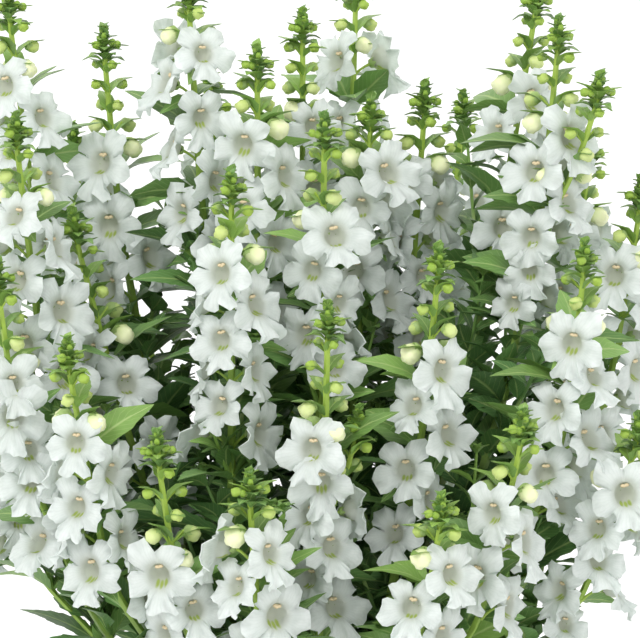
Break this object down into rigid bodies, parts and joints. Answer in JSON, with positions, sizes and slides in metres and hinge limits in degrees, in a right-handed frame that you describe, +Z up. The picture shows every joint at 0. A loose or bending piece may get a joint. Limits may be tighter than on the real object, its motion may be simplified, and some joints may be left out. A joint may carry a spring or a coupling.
{
  "type": "potted angelonia",
  "caption": "White-flowered angelonia: upright flowering stems with toothed leaves, bracts and round buds, rooted in soil in a round tapering plastic pot.",
  "frame": {"origin": "middle of the pot's underside, on the surface that it stands on", "axes": "+Z up through the plant, the pictured side faces -Y, +X to its right"},
  "size_m": [0.2615, 0.2455, 0.399],
  "materials": {
    "petals": "soft matte petal",
    "foliage": "satin leaf",
    "stems": "satin green stem",
    "buds": "matte cream-green bud",
    "pot": "moulded matte",
    "soil": "moist peat compost"
  },
  "bodies": {
    "root": {"pot": "pot", "soil": "soil", "flowering_stem_01": "petals", "flowering_stem_02": "petals", "flowering_stem_03": "petals", "flowering_stem_04": "petals", "flowering_stem_05": "petals", "flowering_stem_06": "petals", "flowering_stem_07": "petals", "flowering_stem_08": "petals", "flowering_stem_09": "petals", "flowering_stem_10": "petals", "flowering_stem_11": "petals", "flowering_stem_12": "petals", "flowering_stem_13": "petals", "flowering_stem_14": "petals", "flowering_stem_15": "petals", "flowering_stem_16": "petals", "flowering_stem_17": "petals", "flowering_stem_18": "petals", "flowering_stem_19": "petals", "flowering_stem_20": "petals", "flowering_stem_21": "petals", "flowering_stem_22": "petals", "flowering_stem_23": "petals", "flowering_stem_24": "petals", "flowering_stem_25": "petals", "flowering_stem_26": "petals", "flowering_stem_27": "petals", "flowering_stem_28": "petals", "flowering_stem_29": "petals", "flowering_stem_30": "petals", "flowering_stem_31": "petals", "flowering_stem_32": "petals", "flowering_stem_33": "petals"}
  },
  "joints": []
}
